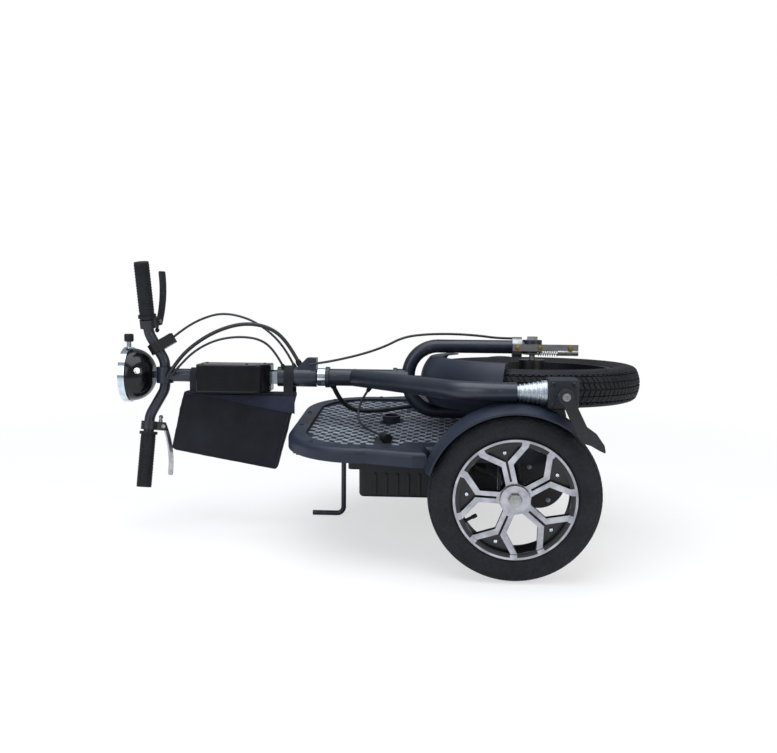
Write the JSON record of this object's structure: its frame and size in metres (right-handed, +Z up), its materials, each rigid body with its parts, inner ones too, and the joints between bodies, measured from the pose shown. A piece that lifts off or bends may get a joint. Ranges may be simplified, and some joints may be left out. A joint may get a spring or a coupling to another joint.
{
  "type": "electric trike packed for transport",
  "caption": "Small electric trike with its front section unclamped and laid on the deck, standing on its rear wheels and a prop stand.",
  "frame": {"origin": "middle of the footprint, on the ground", "axes": "+X forward along the deck, +Y to the trike's left, +Z up"},
  "size_m": [1.0929, 0.6852, 0.5742],
  "materials": {
    "deck_moulding": "satin moulded plastic",
    "mat_rubber": "ribbed rubber",
    "frame_paint": "satin black powder coat",
    "bare_steel": "zinc plated",
    "case_plastic": "matte moulded plastic",
    "motor_casting": "black painted casting",
    "tyre_rubber": "matte rubber",
    "machined_alloy": "machined face, black pockets",
    "chrome": "polished plating",
    "cast_aluminium": "satin cast",
    "gloss_housing": "gloss black",
    "grip_rubber": "ribbed matte rubber",
    "lever_black": "satin black",
    "lamp_glass": "clear moulded lens",
    "bag_fabric": "woven nylon",
    "cable_sleeve": "satin vinyl sleeve"
  },
  "bodies": {
    "chassis": {"deck_shell": "deck_moulding", "deck_mat": "mat_rubber", "under_frame": "frame_paint", "front_socket": "frame_paint", "seat_socket": "bare_steel", "battery_box": "case_plastic", "axle_tube": "frame_paint", "drive_motor": "motor_casting", "fender_left": "deck_moulding", "fender_right": "deck_moulding", "stand_bracket": "frame_paint", "deck_glands": "case_plastic"},
    "rear_wheel_left": {"rear_tyre_left": "tyre_rubber", "rear_rim_left": "machined_alloy", "rear_shaft_left": "bare_steel"},
    "rear_wheel_right": {"rear_tyre_right": "tyre_rubber", "rear_rim_right": "machined_alloy", "rear_shaft_right": "bare_steel"},
    "prop_stand": {"prop_stand": "frame_paint"},
    "front_frame": {"neck_tube": "frame_paint", "head_tube": "frame_paint", "headset": "chrome", "coupling_cone": "cast_aluminium", "coupling_block": "case_plastic", "release_lever": "case_plastic", "harness_cables": "cable_sleeve"},
    "steering": {"fork": "frame_paint", "front_axle": "bare_steel", "front_fender": "deck_moulding", "front_brake": "bare_steel", "steering_nut": "chrome", "stem": "frame_paint", "console": "gloss_housing", "handlebar": "frame_paint", "grip_left": "grip_rubber", "grip_right": "grip_rubber", "brake_lever_left": "cast_aluminium", "brake_lever_right": "lever_black", "control_pod": "case_plastic", "lamp": "gloss_housing", "lamp_ring": "chrome", "lamp_knob": "case_plastic", "lamp_lens": "lamp_glass", "carry_bag": "bag_fabric", "bar_cables": "cable_sleeve"},
    "front_wheel": {"front_tyre": "tyre_rubber", "front_rim": "machined_alloy"}
  },
  "joints": [
    {"name": "rear_wheel_left_spin", "type": "hinge", "parent": "chassis", "child": "rear_wheel_left", "pos_m": [-0.2785, 0.27239, 0.1615], "axis": [0, 1, 0], "continuous": true},
    {"name": "rear_wheel_right_spin", "type": "hinge", "parent": "chassis", "child": "rear_wheel_right", "pos_m": [-0.2785, -0.29761, 0.1615], "axis": [0, 1, 0], "continuous": true},
    {"name": "prop_stand_fold", "type": "hinge", "parent": "chassis", "child": "prop_stand", "pos_m": [0.0795, -0.09961, 0.178], "axis": [-1, 0, 0], "range_deg": [0, 94]},
    {"name": "front_section_lift", "type": "slide", "parent": "chassis", "child": "front_frame", "axis": [0, 0, 1], "range_m": [0, 0.35]},
    {"name": "steering_turn", "type": "hinge", "parent": "front_frame", "child": "steering", "pos_m": [-0.3265, -0.00261, 0.332], "axis": [1, 0, 0], "range_deg": [-12, 12]},
    {"name": "front_wheel_spin", "type": "hinge", "parent": "steering", "child": "front_wheel", "pos_m": [-0.3265, -0.00261, 0.332], "axis": [0, 0.0872, -0.9962], "continuous": true}
  ]
}
